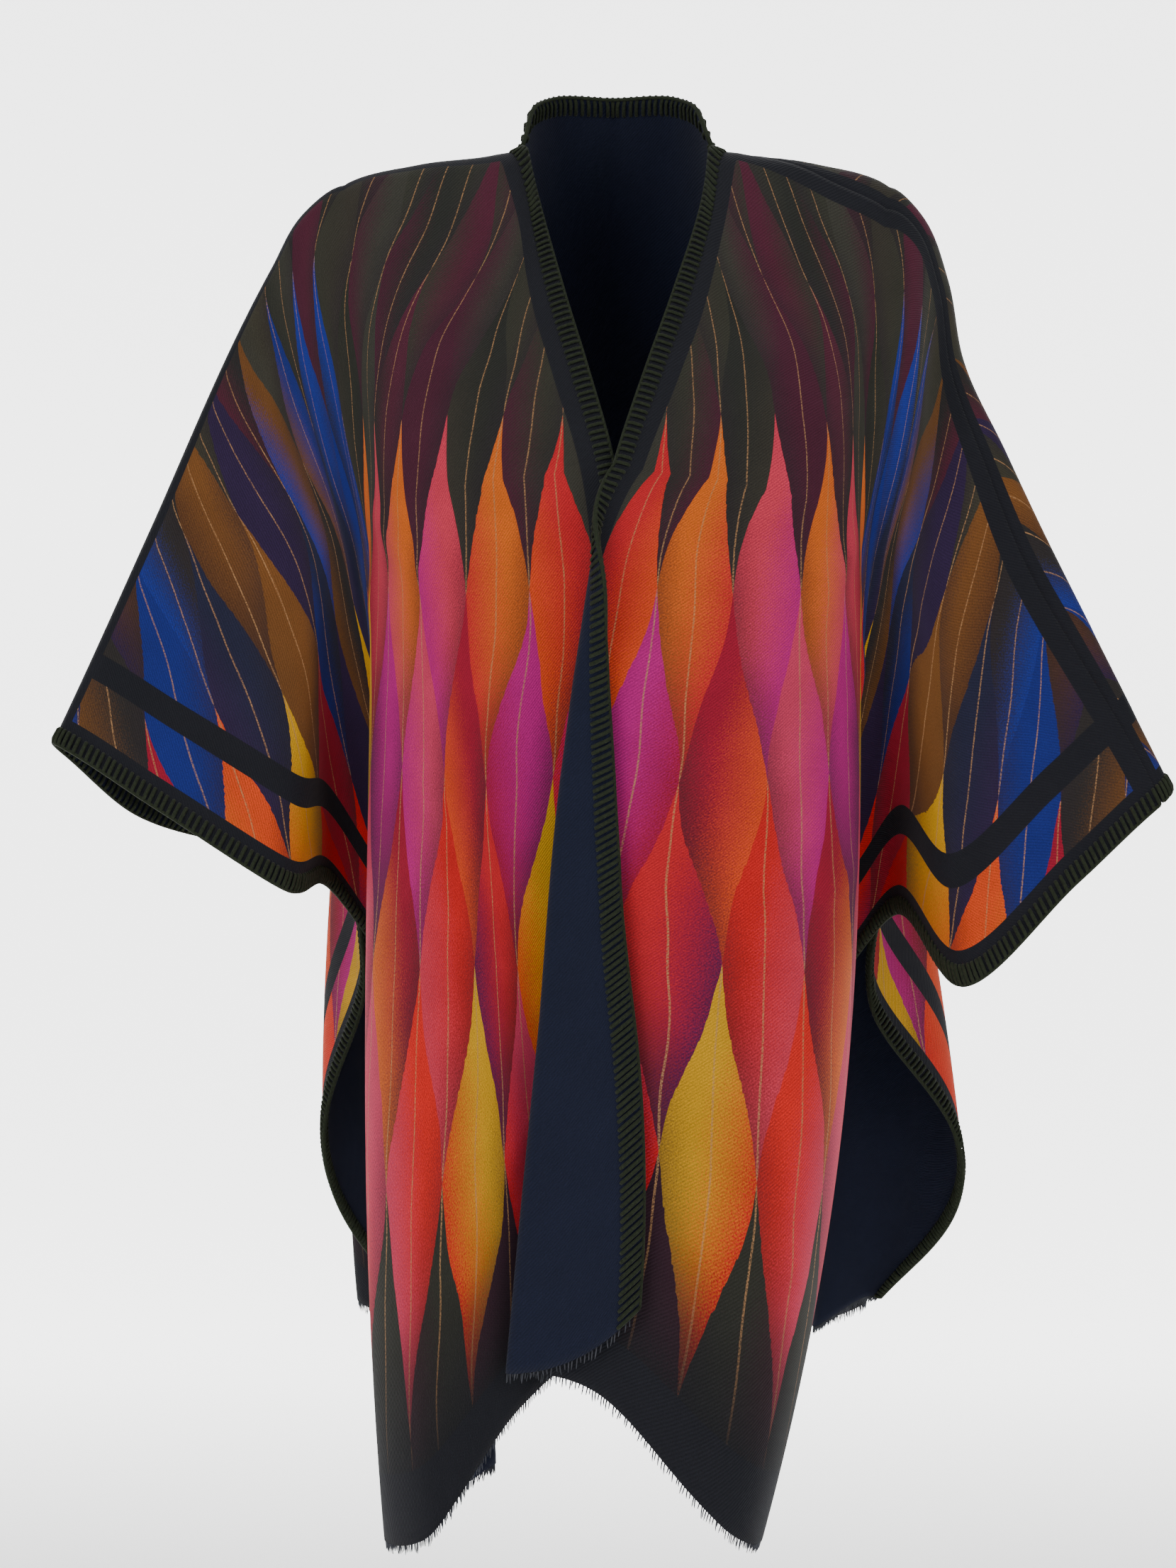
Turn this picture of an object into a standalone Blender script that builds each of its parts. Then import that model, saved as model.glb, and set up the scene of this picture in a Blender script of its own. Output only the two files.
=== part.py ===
"""Open-front wool cape, worn form without a wearer. Metres, +X to image right, front towards -Y,
+Z up, origin midway between the two neck points where the wearer carries it."""
import math

import bpy
import numpy as np

# flat cut of the cloth: u runs from the centre line to the side edge, b from the shoulder line to a hem
HALF_WIDTH = 0.640
LENGTH = 0.800
NECK_HALF_WIDTH = 0.090
NECK_DEPTH = 0.260
SHOULDER_WIDTH = 0.210

WALL = 0.002
SEAM_GAP = 0.0005
SHOULDER_POINT = (0.188, 0.0, -0.035)

# turned-back strip of the front edge on the right front
FLAP_TOP = 0.262
FLAP_TURNED = 0.410
FLAP_WIDTH = 0.076
FLAP_LIFT = 0.052
FLAP_BEND = 0.004

# stations, measured from the shoulder point, at which the fold tables give a position
NEAR, MIDDLE, FAR = 0.25, 0.50, 0.90

# top line of each side: u in the flat cut, then x outwards, y and z, in millimetres
RIDGE_LEFT = (
    (0.000, 0, 58, 38),
    (0.050, 43, 40, 34),
    (0.075, 56, 20, 22),
    (0.090, 62, 2, 6),
    (0.110, 79, -3, 0),
    (0.160, 129, -2, -7),
    (0.210, 183, -1, -23),
    (0.240, 211, -8, -49),
    (0.280, 231, -20, -88),
    (0.640, 363, -120, -402),
)
RIDGE_RIGHT = (
    (0.000, 0, 58, 38),
    (0.050, 44, 40, 34),
    (0.075, 58, 20, 22),
    (0.090, 66, 2, 6),
    (0.110, 83, -3, 1),
    (0.160, 132, -1, -6),
    (0.210, 186, 2, -23),
    (0.240, 211, 0, -50),
    (0.280, 227, -5, -93),
    (0.330, 236, -18, -147),
    (0.400, 264, -38, -212),
    (0.640, 359, -118, -434),
)

# neckline and front edge: b in the flat cut, then x outwards, y and z, in millimetres
EDGE_LEFT = (
    (0.000, 62, 2, 6),
    (0.045, 53, -20, -38),
    (0.135, 33, -74, -118),
    (0.190, 19, -106, -168),
    (0.260, 2, -143, -235),
    (0.450, -4, -158, -425),
    (0.620, -6, -150, -600),
    (0.800, -4, -118, -785),
)
EDGE_RIGHT = (
    (0.000, 66, 2, 6),
    (0.045, 61, -22, -38),
    (0.135, 38, -76, -118),
    (0.190, 21, -110, -168),
    (0.260, 0, -151, -235),
    (0.450, -29, -172, -425),
    (0.620, -44, -176, -600),
    (0.800, -62, -172, -795),
)

# folds that fan out from the shoulder point: angle in the flat cut from straight down, in degrees,
# then x outwards, y and z at the three stations, in millimetres
FRONT_FOLDS_LEFT = (
    (-90.0, -64, -10, 38, -316, -21, 111, -719, -38, 228),
    (-62.0, -27, -75, -85, -242, -150, -135, -586, -270, -215),
    (-39.0, 47, -108, -185, -93, -217, -335, -318, -391, -574),
    (-25.0, 98, -120, -215, -11, -160, -427, -186, -191, -781),
    (-14.7, 128, -116, -238, 62, -162, -478, -7, -125, -851),
    (-6.0, 145, -106, -250, 98, -163, -495, 59, -150, -928),
    (2.0, 152, -97, -257, 137, -143, -512, 101, -176, -1050),
    (9.0, 157, -89, -262, 157, -112, -520, 129, -136, -1040),
    (18.0, 160, -83, -266, 118, -92, -516, 76, -102, -930),
    (28.3, 164, -78, -269, 144, -68, -520, 136, -76, -912),
    (38.0, 171, -74, -271, 118, -46, -512, 86, -44, -898),
    (50.0, 180, -71, -272, 159, -40, -498, 148, -32, -729),
    (56.5, 188, -70, -275, 186, -56, -488, 190, -21, -792),
)
FRONT_FOLDS_RIGHT = (
    (-90.0, -62, -10, 38, -312, -21, 111, -712, -38, 228),
    (-62.0, -27, -78, -85, -242, -156, -135, -586, -281, -215),
    (-39.0, 47, -112, -185, -93, -225, -335, -318, -404, -574),
    (-25.0, 90, -126, -215, -58, -170, -427, -265, -201, -781),
    (-14.7, 124, -122, -238, 12, -172, -480, -193, -178, -868),
    (-6.0, 143, -110, -251, 84, -170, -498, -62, -182, -906),
    (2.0, 152, -99, -260, 136, -144, -512, 25, -186, -1050),
    (9.0, 157, -90, -266, 153, -104, -520, 46, -150, -1036),
    (18.0, 160, -84, -270, 116, -86, -514, 48, -104, -940),
    (28.3, 164, -79, -273, 146, -64, -520, 60, -80, -925),
    (38.0, 171, -75, -275, 118, -44, -512, 58, -47, -898),
    (50.0, 180, -71, -276, 160, -38, -504, 141, -32, -750),
    (56.5, 187, -71, -280, 185, -54, -504, 186, -21, -834),
)
BACK_FOLDS = (
    (-90.0, -64, -10, 38, -316, -21, 111, -719, -38, 228),
    (-60.0, -6, 103, -77, -200, 206, -119, -511, 371, -186),
    (-40.0, 44, 102, -165, -100, 204, -295, -331, 367, -503),
    (-25.0, 95, 112, -208, -1, 150, -403, -155, 180, -781),
    (-14.7, 126, 108, -228, 66, 150, -462, -17, 167, -819),
    (0.0, 156, 86, -258, 140, 132, -500, 108, 161, -882),
    (9.0, 172, 70, -270, 182, 108, -508, 171, 142, -887),
)
BACK_SIDE_LEFT = (
    (18.0, 174, 56, -275, 160, 80, -512, 127, 108, -866),
    (28.3, 178, 44, -276, 180, 60, -508, 142, 76, -794),
    (38.0, 180, 32, -272, 193, 40, -500, 180, 23, -834),
    (47.0, 184, 22, -268, 172, 3, -488, 148, -36, -803),
    (56.5, 190, 12, -260, 190, -11, -458, 196, -32, -792),
)
BACK_SIDE_RIGHT = (
    (18.0, 176, 56, -275, 164, 80, -512, 137, 110, -866),
    (28.3, 182, 44, -276, 202, 60, -508, 188, 84, -790),
    (38.0, 184, 32, -272, 212, 40, -504, 240, 23, -834),
    (47.0, 184, 22, -268, 176, 3, -500, 150, -36, -824),
    (56.5, 190, 12, -262, 189, -11, -486, 196, -32, -834),
)
# hanging cloth of the sleeves: direction of the cut's length from the top line, per metre of cloth
SLEEVE_FRONT_LEFT = (-0.810, -0.01, -0.510)
SLEEVE_FRONT_RIGHT = (-0.730, -0.01, -0.660)
# back of the sleeve, where it swings under the arm: angle, then a point at the middle station
SLEEVE_BACK_FOLDS = (
    (66.0, 252, -6, -500),
    (77.0, 326, -58, -510),
)
SLEEVE_ANGLES = (66.0, 78.0, 90.0)

RIDGE_ROUND = 0.020
ROUND_STEPS = (-1.0, -0.67, -0.33, 0.0, 0.33, 0.67, 1.0)
SHOULDER_SLIP = 0.030

# round the shoulder point the cloth spreads evenly: angle, then x outwards, y and z per metre
CAP_FRONT = (
    (-90.0, -1.008, -0.042, 0.292),
    (-45.0, -0.680, -0.500, -0.480),
    (-10.0, -0.260, -0.460, -0.840),
    (20.0, -0.020, -0.440, -0.900),
    (55.0, 0.170, -0.360, -0.920),
    (90.0, 0.400, -0.279, -0.867),
)
CAP_BACK = (
    (-90.0, -1.008, -0.042, 0.292),
    (-45.0, -0.660, 0.480, -0.500),
    (-10.0, -0.240, 0.450, -0.850),
    (20.0, -0.010, 0.360, -0.930),
    (55.0, 0.230, 0.100, -0.960),
    (90.0, 0.400, -0.279, -0.867),
)
CAP_INNER, CAP_OUTER = 0.05, 0.27

FRONT_COLUMNS, FRONT_ROWS = 28, 23
FLAP_COLUMNS, BEND_COLUMNS = 4, 6
NAPE_COLUMNS, BACK_ROWS = 5, 18


def clear_scene():
    for item in list(bpy.data.objects):
        bpy.data.objects.remove(item)


def smooth_step(value, start, end):
    t = np.clip((np.asarray(value, float) - start) / (end - start), 0.0, 1.0)
    return t * t * (3.0 - 2.0 * t)


def through(knots, values, at):
    """Smooth curve through the rows of a table."""
    knots = np.asarray(knots, float)
    values = np.asarray(values, float)
    at = np.asarray(at, float)
    span = np.diff(knots)
    rise = np.diff(values, axis=0) / span.reshape((-1,) + (1,) * (values.ndim - 1))
    slope = np.empty_like(values)
    slope[0] = rise[0]
    slope[-1] = rise[-1]
    for k in range(1, len(knots) - 1):
        slope[k] = (rise[k - 1] * span[k] + rise[k] * span[k - 1]) / (span[k - 1] + span[k])
    place = np.clip(np.searchsorted(knots, at, side="right") - 1, 0, len(knots) - 2)
    extra = (1,) * (values.ndim - 1)
    width = span[place].reshape(at.shape + extra)
    t = (at - knots[place]).reshape(at.shape + extra) / width
    inside = np.clip(t, 0.0, 1.0)
    low, high = values[place], values[place + 1]
    slope_low, slope_high = slope[place] * width, slope[place + 1] * width
    curve = (low * (2 * inside ** 3 - 3 * inside ** 2 + 1)
             + slope_low * (inside ** 3 - 2 * inside ** 2 + inside)
             + high * (3 * inside ** 2 - 2 * inside ** 3)
             + slope_high * (inside ** 3 - inside ** 2))
    return curve + np.where(t > 1.0, (t - 1.0) * slope_high, 0.0) + np.where(t < 0.0, t * slope_low, 0.0)


def curve_of(table, at):
    rows = np.array(table, float)
    return through(rows[:, 0], rows[:, 1:] / 1000.0, at)


def sleeve_row(ridge, fall, angle):
    """Row of the fold table where the cloth hangs flat from the arm line."""
    start = np.array(SHOULDER_POINT)
    arm = (curve_of(ridge, HALF_WIDTH) - start) / (HALF_WIDTH - SHOULDER_WIDTH)
    a = math.radians(angle)
    ray = math.sin(a) * arm + math.cos(a) * np.array(fall)
    return [angle] + [value for reach in (NEAR, MIDDLE, FAR) for value in (start + ray * reach) * 1000.0]


def fold_table(folds, ridge, fall):
    rows = [list(row) for row in folds]
    if fall is None:
        start = np.array(SHOULDER_POINT) * 1000.0
        for angle, x, y, z in SLEEVE_BACK_FOLDS:
            ray = (np.array((x, y, z)) - start) / MIDDLE
            rows.append([angle] + [v for reach in (NEAR, MIDDLE, FAR) for v in start + ray * reach])
        rows.append(sleeve_row(ridge, (0.0, 0.0, 0.0), 90.0))
    else:
        rows += [sleeve_row(ridge, fall, angle) for angle in SLEEVE_ANGLES]
    return np.array(rows)


def fan(table, cap, u, b):
    """Cloth that fans out from the shoulder point, without the shape of the top line and front edge."""
    sideways = u - SHOULDER_WIDTH
    angle = np.degrees(np.arctan2(sideways, b))
    reach = np.hypot(sideways, b)
    at_angle = through(table[:, 0], table[:, 1:] / 1000.0, angle)
    start = np.array(SHOULDER_POINT)
    near, middle, far = at_angle[..., 0:3] - start, at_angle[..., 3:6] - start, at_angle[..., 6:9] - start
    r = reach[..., None]
    n, m, f = NEAR, MIDDLE, FAR
    # cubic along the ray that starts at the shoulder point
    along = (near * r * (r - m) * (r - f) / (n * (n - m) * (n - f))
             + middle * r * (r - n) * (r - f) / (m * (m - n) * (m - f))
             + far * r * (r - n) * (r - m) / (f * (f - n) * (f - m)))
    rows = np.array(cap)
    even = through(rows[:, 0], rows[:, 1:], angle) * r
    share = smooth_step(reach, CAP_INNER, CAP_OUTER)[..., None]
    return start + even * (1.0 - share) + along * share


def hang(table, cap, ridge, u, b):
    """The fan with its top line laid on the shoulder and arm."""
    zero = np.zeros_like(b)
    off = curve_of(ridge, u) - fan(table, cap, u, zero)
    return fan(table, cap, u, b) + off * (1.0 - smooth_step(b, 0.0, 0.16))[..., None]


def neckline(b):
    return NECK_HALF_WIDTH * np.clip(1.0 - b / NECK_DEPTH, 0.0, 1.0)


def flap_width(b):
    drop = np.clip((b - FLAP_TOP) / (LENGTH - FLAP_TOP), 0.0, 1.2)
    return FLAP_WIDTH * drop ** 0.72


def cloth_columns(side):
    """Ridge, edge, front folds, back folds and sleeve fall of one side."""
    if side == "left":
        return (RIDGE_LEFT, EDGE_LEFT, FRONT_FOLDS_LEFT, BACK_FOLDS + BACK_SIDE_LEFT,
                SLEEVE_FRONT_LEFT)
    return (RIDGE_RIGHT, EDGE_RIGHT, FRONT_FOLDS_RIGHT, BACK_FOLDS + BACK_SIDE_RIGHT,
            SLEEVE_FRONT_RIGHT)


def front_side(side, u, b):
    ridge, edge, folds, back_folds, fall = cloth_columns(side)
    start = neckline(b) + (flap_width(b) if side == "right" else 0.0)
    table = fold_table(folds, ridge, fall)
    share = 1.0 - smooth_step((u - start) / (SHOULDER_WIDTH - 0.01 - start), 0.0, 1.0)
    off = curve_of(edge, b) - hang(table, CAP_FRONT, ridge, start, b)
    return hang(table, CAP_FRONT, ridge, u, b) + off * share[..., None]


def back_side(side, u, b):
    ridge, edge, folds, back_folds, fall = cloth_columns(side)
    table = fold_table(back_folds, ridge, None)
    points = hang(table, CAP_BACK, ridge, u, b)
    centre = hang(table, CAP_BACK, ridge, np.zeros_like(b), b)
    share = 1.0 - smooth_step(u, 0.0, SHOULDER_WIDTH)
    points[..., 0] -= centre[..., 0] * share
    return points


def over_ridge(side, u, c):
    """Cloth of one side: c is the distance past its top line, positive on the front."""
    front = front_side(side, u, np.maximum(c, 0.0))
    back = back_side(side, u, np.maximum(-c, 0.0))
    return np.where((c > 0.0)[..., None], front, back)


def one_side(side, u, c):
    """The same cloth with its top line rounded over shoulder and arm."""
    spread = RIDGE_ROUND * (1.0 - smooth_step(np.abs(c), 0.01, 0.09)) * smooth_step(u, 0.070, 0.090)
    total = 0.0
    for part in ROUND_STEPS:
        total = total + over_ridge(side, u, c + spread * part)
    rounded = total / len(ROUND_STEPS)
    return np.where((spread > 0.0)[..., None], rounded, over_ridge(side, u, c))


def slip(side, u, b):
    """How far the shoulder line has slipped to the front."""
    if side == "left":
        return np.zeros_like(u)
    rise = smooth_step(u, 0.10, 0.20) * (1.0 - 0.4 * smooth_step(u, 0.45, 0.64))
    return SHOULDER_SLIP * rise * (1.0 - smooth_step(b, 0.02, 0.30))


def turned_flap(u, b):
    """Where a point of the right front lies once its edge strip is turned outwards: u and b on
    the panel, and height above it."""
    width = flap_width(b)
    turn = math.pi * smooth_step(b, FLAP_TOP, FLAP_TURNED)
    past = np.clip(width - u, 0.0, None)
    bend = np.minimum(past, turn * FLAP_BEND)
    angle = bend / FLAP_BEND
    straight = past - bend
    place = np.where(past > 0.0, width - FLAP_BEND * np.sin(angle) - straight * np.cos(turn), u)
    height = np.where(past > 0.0, FLAP_BEND * (1.0 - np.cos(angle)) + straight * np.sin(turn), 0.0)
    drop = np.clip((b - FLAP_TOP) / (LENGTH - FLAP_TOP), 0.0, 1.2)
    lift = FLAP_LIFT * drop ** 1.2 * np.clip(past / np.maximum(width, 0.001), 0.0, 1.0) ** 2.6
    return place, b - lift, height


def front_points(side, u, b):
    """Middle of the cloth wall; x still measured outwards from the centre."""
    if side == "left":
        return one_side(side, u, b)
    place, b, height = turned_flap(u, b)
    step = 0.004
    base = one_side(side, place, b + slip(side, place, b))
    ahead = one_side(side, place + step, b + slip(side, place + step, b))
    below = one_side(side, place, b + step + slip(side, place, b + step))
    normal = unit(np.cross(below - base, ahead - base))
    return base + normal * height[..., None]


def back_points(side, u, b):
    return one_side(side, u, slip(side, u, b) - b)


def unit(vector):
    return vector / np.maximum(np.linalg.norm(vector, axis=-1, keepdims=True), 1e-9)


def facing(surface, side, u, b):
    """Outward normal of a surface function."""
    step = 0.0015
    across = surface(side, u + step, b) - surface(side, u - step, b)
    down = surface(side, u, b + step) - surface(side, u, b - step)
    normal = unit(np.cross(down, across))
    return normal if surface is front_points else -normal


def wall_mesh(name, points, normal):
    """Closed wall round a grid of middle points."""
    rows, columns = points.shape[:2]
    outer = (points + normal * WALL / 2.0).reshape(-1, 3)
    inner = (points - normal * WALL / 2.0).reshape(-1, 3)
    count = rows * columns
    vertices = [tuple(p) for p in np.vstack((outer, inner))]
    faces = []
    for j in range(rows - 1):
        for i in range(columns - 1):
            a, b = j * columns + i, j * columns + i + 1
            c, d = b + columns, a + columns
            faces.append((a, d, c, b))
            faces.append((a + count, b + count, c + count, d + count))
    for i in range(columns - 1):
        a, b = i, i + 1
        faces.append((a, b, b + count, a + count))
        a, b = (rows - 1) * columns + i, (rows - 1) * columns + i + 1
        faces.append((b, a, a + count, b + count))
    for j in range(rows - 1):
        a, b = j * columns, (j + 1) * columns
        faces.append((b, a, a + count, b + count))
        a, b = a + columns - 1, b + columns - 1
        faces.append((a, b, b + count, a + count))
    mesh = bpy.data.meshes.new(name)
    mesh.from_pydata(vertices, [], faces)
    mesh.update()
    return mesh


def cloth_material(name, colour):
    material = bpy.data.materials.new(name)
    material.use_nodes = True
    shader = material.node_tree.nodes["Principled BSDF"]
    shader.inputs["Base Color"].default_value = (*colour, 1.0)
    shader.inputs["Roughness"].default_value = 0.9
    return material


def add_piece(name, points, normal, colour):
    mesh = wall_mesh(name, points, normal)
    mesh.materials.append(cloth_material(name + "_cloth", colour))
    piece = bpy.data.objects.new(name, mesh)
    bpy.context.scene.collection.objects.link(piece)
    return piece


def row_places(rows):
    t = np.linspace(0.0, 1.0, rows + 1)
    return SEAM_GAP / 2.0 + (LENGTH - SEAM_GAP / 2.0) * t ** 1.25


def front_columns(side, b):
    """u of every column, one row of the grid for each b."""
    start = neckline(b)
    if side == "left":
        t = np.linspace(0.0, 1.0, FRONT_COLUMNS + 1)[None, :]
        return start + (HALF_WIDTH - start) * t
    bend = math.pi * smooth_step(b, FLAP_TOP, FLAP_TURNED) * FLAP_BEND
    strip = np.maximum(flap_width(b) - bend, 0.012)
    turned = np.maximum(bend, 0.008)
    first = start + strip * np.linspace(0.0, 1.0, FLAP_COLUMNS + 1)[None, :]
    second = start + strip + turned * np.linspace(0.0, 1.0, BEND_COLUMNS + 1)[None, 1:]
    fold = start + strip + turned
    rest = FRONT_COLUMNS - 3
    third = fold + (HALF_WIDTH - fold) * np.linspace(0.0, 1.0, rest + 1)[None, 1:]
    return np.hstack((first, second, third))


def build_front(side, sign, colour):
    b = row_places(FRONT_ROWS)[:, None]
    u = front_columns(side, b)
    b = b * np.ones_like(u)
    points = front_points(side, u, b)
    normal = facing(front_points, side, u, b)
    if sign < 0.0:
        points[..., 0] *= -1.0
        normal[..., 0] *= -1.0
        points = points[:, ::-1]
        normal = normal[:, ::-1]
    add_piece("front_" + side, points, normal, colour)


def back_columns(side):
    """The fronts' columns along the shoulder line, and a few across the nape."""
    line = front_columns(side, row_places(1)[:1, None])[0]
    nape = np.linspace(0.0, line[0], NAPE_COLUMNS + 1)[:-1]
    return np.concatenate((nape, line))[None, :]


def build_back(colour):
    rows = row_places(BACK_ROWS)[:, None]
    sides = []
    for side in ("left", "right"):
        u = back_columns(side) * np.ones_like(rows)
        b = rows * np.ones_like(u)
        points = back_points(side, u, b)
        normal = facing(back_points, side, u, b)
        if side == "left":
            points[..., 0] *= -1.0
            normal[..., 0] *= -1.0
        sides.append((points, normal))
    (left, left_normal), (right, right_normal) = sides
    centre = 0.5 * (left[:, :1] + right[:, :1])
    centre_normal = unit(left_normal[:, :1] + right_normal[:, :1])
    points = np.hstack((right[:, :0:-1], centre, left[:, 1:]))
    normal = np.hstack((right_normal[:, :0:-1], centre_normal, left_normal[:, 1:]))
    add_piece("back", points, normal, colour)


clear_scene()
build_front("left", -1.0, (0.55, 0.10, 0.08))
build_front("right", 1.0, (0.50, 0.08, 0.10))
build_back((0.10, 0.11, 0.15))
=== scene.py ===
import math
import bpy
import numpy as np
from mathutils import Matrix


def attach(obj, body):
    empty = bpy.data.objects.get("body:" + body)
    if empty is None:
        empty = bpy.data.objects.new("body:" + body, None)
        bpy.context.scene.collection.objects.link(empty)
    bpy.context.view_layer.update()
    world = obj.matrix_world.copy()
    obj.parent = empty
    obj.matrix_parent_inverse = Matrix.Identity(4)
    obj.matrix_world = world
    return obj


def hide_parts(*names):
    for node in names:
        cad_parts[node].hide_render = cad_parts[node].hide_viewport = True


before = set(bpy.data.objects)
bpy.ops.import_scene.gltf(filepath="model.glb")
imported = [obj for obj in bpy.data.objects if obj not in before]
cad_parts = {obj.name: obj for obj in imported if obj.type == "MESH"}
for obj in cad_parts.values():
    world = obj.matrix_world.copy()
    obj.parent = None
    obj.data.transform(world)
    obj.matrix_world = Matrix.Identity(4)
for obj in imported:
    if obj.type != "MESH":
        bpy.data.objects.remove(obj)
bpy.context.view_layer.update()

# The studio. A pale seamless floor that curves up behind the cape, as plaster rolled smooth and
# painted matt white. The cape hangs at a wearer's neck height above it.
FLOOR_BELOW_NECK = 1.42


def linear(code):
    """Linear colour of an sRGB hex value."""
    parts = [int(code[k:k + 2], 16) / 255.0 for k in (1, 3, 5)]
    return tuple(c / 12.92 if c <= 0.04045 else ((c + 0.055) / 1.055) ** 2.4 for c in parts) + (1.0,)


def add_node(material, kind, links=(), **settings):
    """One node with its settings; links gives its inputs, in order or by name."""
    node = material.node_tree.nodes.new(kind)
    for name, value in settings.items():
        setattr(node, name, value)
    for key, value in (links.items() if isinstance(links, dict) else enumerate(links)):
        if isinstance(value, bpy.types.Node):
            value = value.outputs[0]
        if isinstance(value, bpy.types.NodeSocket):
            material.node_tree.links.new(value, node.inputs[key])
        elif value is not None:
            node.inputs[key].default_value = value
    return node


bpy.ops.object.select_all(action="DESELECT")
bpy.ops.mesh.primitive_plane_add(size=1.0, location=(0.0, 0.0, -FLOOR_BELOW_NECK))
floor = bpy.context.object
floor.name = "studio_floor"
bpy.ops.object.mode_set(mode="EDIT")
bpy.ops.transform.resize(value=(16.0, 9.0, 1.0))
bpy.ops.mesh.select_all(action="DESELECT")
bpy.ops.object.mode_set(mode="OBJECT")
for edge in floor.data.edges:
    edge.select = all(floor.data.vertices[v].co.y > 4.0 for v in edge.vertices)
bpy.ops.object.mode_set(mode="EDIT")
bpy.ops.mesh.select_mode(type="EDGE")
bpy.ops.mesh.extrude_region_move(TRANSFORM_OT_translate={"value": (0.0, 0.0, 7.0)})
bpy.ops.object.mode_set(mode="OBJECT")
bend = floor.modifiers.new("cove", "BEVEL")
bend.limit_method = "ANGLE"
bend.width = 1.6
bend.segments = 24
bpy.ops.object.modifier_apply(modifier="cove")
bpy.ops.object.transform_apply(location=True, rotation=True, scale=True)
bpy.ops.object.shade_smooth()
plaster = bpy.data.materials.new("white_wall_paint_painted_glow")
plaster.use_nodes = True
paint = plaster.node_tree.nodes["Principled BSDF"]
paint.inputs["Base Color"].default_value = linear("#f7f7f6")
paint.inputs["Roughness"].default_value = 0.95
# the emission is a painted glow of the white paint, strength set below
paint.inputs["Emission Color"].default_value = linear("#ffffff")
# painted glow: the far part of the floor and the wall glows by emission of its own, with no lamp behind
# it;
# it brightens from 1.2 to 3.2 m behind the cape
spot = add_node(plaster, "ShaderNodeTexCoord").outputs["Object"]
spot = add_node(plaster, "ShaderNodeSeparateXYZ", (spot,)).outputs["Y"]
glow = add_node(plaster, "ShaderNodeMapRange", (spot, 1.2, 3.2, 0.0, 3.0))
plaster.node_tree.links.new(glow.outputs[0], paint.inputs["Emission Strength"])
floor.data.materials.append(plaster)

# Soft studio light: a pale world and three big soft boxes, in front on both sides and above. The
# camera stands 2 m away, level, at half the height of the cape.
world = bpy.data.worlds.new("studio")
world.use_nodes = True
world.node_tree.nodes["Background"].inputs["Color"].default_value = linear("#f6f7fa")
world.node_tree.nodes["Background"].inputs["Strength"].default_value = 0.28
bpy.context.scene.world = world
# each box's place, turn in degrees, size in metres and watts
for name, place, turn, size, power in (
        ("soft_box_left", (-1.9, -2.4, 0.7), (68, 0, -38), 1.8, 38),
        ("soft_box_right", (2.1, -2.3, 0.3), (76, 0, 42), 1.8, 24),
        ("soft_box_above", (0.0, -0.6, 2.0), (16, 0, 0), 2.2, 14)):
    bpy.ops.object.light_add(type="AREA", location=place, rotation=[math.radians(a) for a in turn])
    bpy.context.object.name = name
    bpy.context.object.data.size = size
    bpy.context.object.data.energy = power
CAMERA_AWAY = 2.0
PICTURE_HEIGHT = 2.212 / 2.1   # metres of the cape's plane from the picture's top to its bottom
bpy.ops.object.camera_add(location=(-0.0174, -CAMERA_AWAY, -0.434), rotation=(math.pi / 2.0, 0.0, 0.0))
camera = bpy.context.object
camera.data.sensor_fit = "VERTICAL"
camera.data.sensor_height = 24.0
camera.data.lens = camera.data.sensor_height * CAMERA_AWAY / PICTURE_HEIGHT
bpy.context.scene.camera = camera

# The left front. One wool cloth, 1.28 m across the arms and 1.6 m long, is folded over the
# shoulders and slit up the front to a V; this is its half under the picture's left arm. Sleeve, body
# and hem are the drape of that flat cloth, in pleats that fan out from the point of the shoulder.
HALF_WIDTH = 0.640
LENGTH = 0.800
NECK_HALF_WIDTH = 0.090
NECK_DEPTH = 0.260
SHOULDER_WIDTH = 0.210

WALL = 0.002
SHOULDER_POINT = (0.188, 0.0, -0.035)

# turned-back strip of the front edge on the right front
FLAP_TOP = 0.262
FLAP_TURNED = 0.410
FLAP_WIDTH = 0.076
FLAP_LIFT = 0.052   # how much higher its corner is drawn up at the hem
FLAP_BEND = 0.004   # radius of the turn

# stations, measured from the shoulder point, at which the fold tables give a position
NEAR, MIDDLE, FAR = 0.25, 0.50, 0.90

# top line of each side: u in the flat cut, then x outwards, y and z, in millimetres
RIDGE_LEFT = (
    (0.000, 0, 58, 38),
    (0.050, 43, 40, 34),
    (0.075, 56, 20, 22),
    (0.090, 62, 2, 6),
    (0.110, 79, -3, 0),
    (0.160, 129, -2, -7),
    (0.210, 183, -1, -23),
    (0.240, 211, -8, -49),
    (0.280, 231, -20, -88),
    (0.640, 363, -120, -402),
)
RIDGE_RIGHT = (
    (0.000, 0, 58, 38),
    (0.050, 44, 40, 34),
    (0.075, 58, 20, 22),
    (0.090, 66, 2, 6),
    (0.110, 83, -3, 1),
    (0.160, 132, -1, -6),
    (0.210, 186, 2, -23),
    (0.240, 211, 0, -50),
    (0.280, 227, -5, -93),
    (0.330, 236, -18, -147),
    (0.400, 264, -38, -212),
    (0.640, 359, -118, -434),
)

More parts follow.
